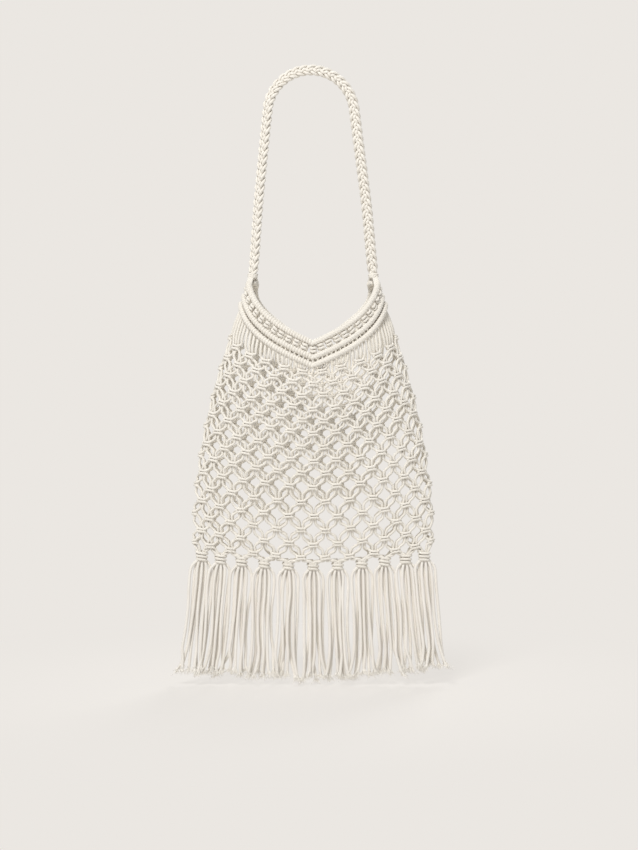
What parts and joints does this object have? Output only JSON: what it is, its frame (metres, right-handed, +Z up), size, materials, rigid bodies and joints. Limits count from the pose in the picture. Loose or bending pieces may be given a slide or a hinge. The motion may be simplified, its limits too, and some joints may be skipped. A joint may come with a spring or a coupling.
{
  "type": "macrame bag",
  "caption": "Open-net shoulder bag knotted from cotton cord, with a plaited strap, rolled bands round a V-shaped mouth and a long fringe along the bottom.",
  "frame": {"origin": "underside of the middle of the strap's arch, where a hook, hand or shoulder carries the bag", "axes": "+Z up, +X across the bag to the right as seen from the front, the front faces -Y"},
  "size_m": [0.3176, 0.0988, 0.7292],
  "materials": {
    "cotton_cord": "matt undyed cotton cord"
  },
  "bodies": {
    "root": {"strap": "cotton_cord", "left_wrap": "cotton_cord", "right_wrap": "cotton_cord", "front_top_roll": "cotton_cord", "front_knot_row": "cotton_cord", "front_middle_roll": "cotton_cord", "front_bottom_roll": "cotton_cord", "back_top_roll": "cotton_cord", "back_knot_row": "cotton_cord", "back_middle_roll": "cotton_cord", "back_bottom_roll": "cotton_cord", "net_front": "cotton_cord", "net_back": "cotton_cord", "tassel_01": "cotton_cord", "tassel_02": "cotton_cord", "tassel_03": "cotton_cord", "tassel_04": "cotton_cord", "tassel_05": "cotton_cord", "tassel_06": "cotton_cord", "tassel_07": "cotton_cord", "tassel_08": "cotton_cord", "tassel_09": "cotton_cord", "tassel_10": "cotton_cord", "tassel_11": "cotton_cord"}
  },
  "joints": []
}
